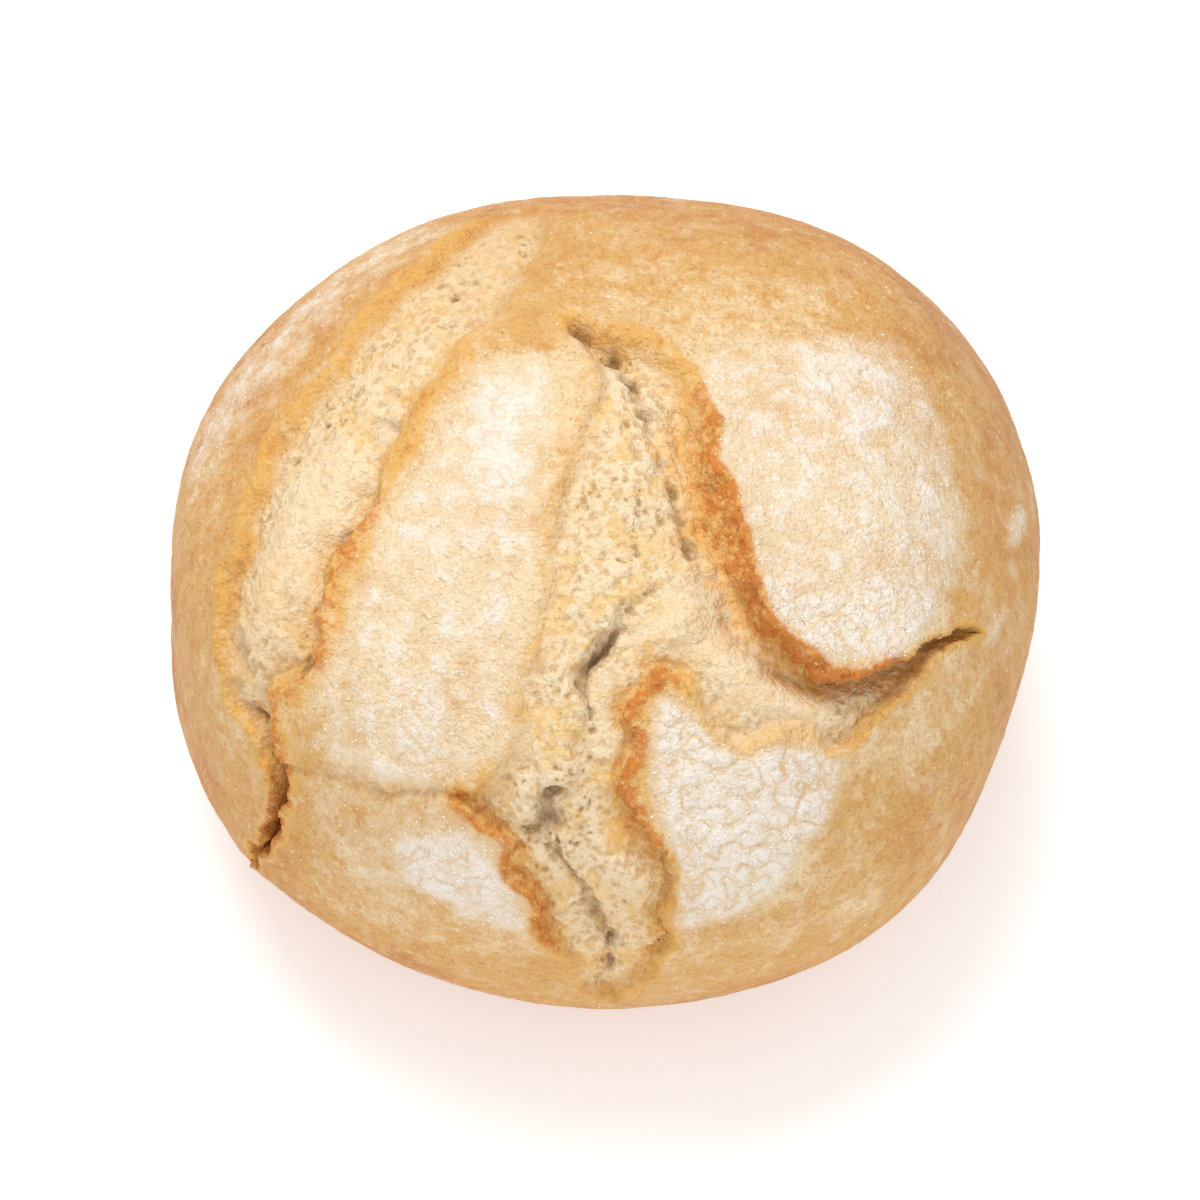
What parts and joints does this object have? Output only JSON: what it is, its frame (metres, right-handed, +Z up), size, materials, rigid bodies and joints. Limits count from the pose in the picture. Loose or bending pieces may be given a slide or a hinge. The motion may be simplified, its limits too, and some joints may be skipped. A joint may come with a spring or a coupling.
{
  "type": "bread roll",
  "caption": "Round crusty wheat bread roll, domed and resting flat, with two branching splits torn open in its floured crust",
  "frame": {"origin": "on the table under the middle of the roll's bounding box, on the plane of its flat underside", "axes": "+Z up; the torn face of the crust looks to -Y and up; +X to the viewer's right"},
  "size_m": [0.0928, 0.09, 0.0617],
  "materials": {
    "crust": "matte baked crust"
  },
  "bodies": {
    "root": {"bread_roll": "crust"}
  },
  "joints": []
}
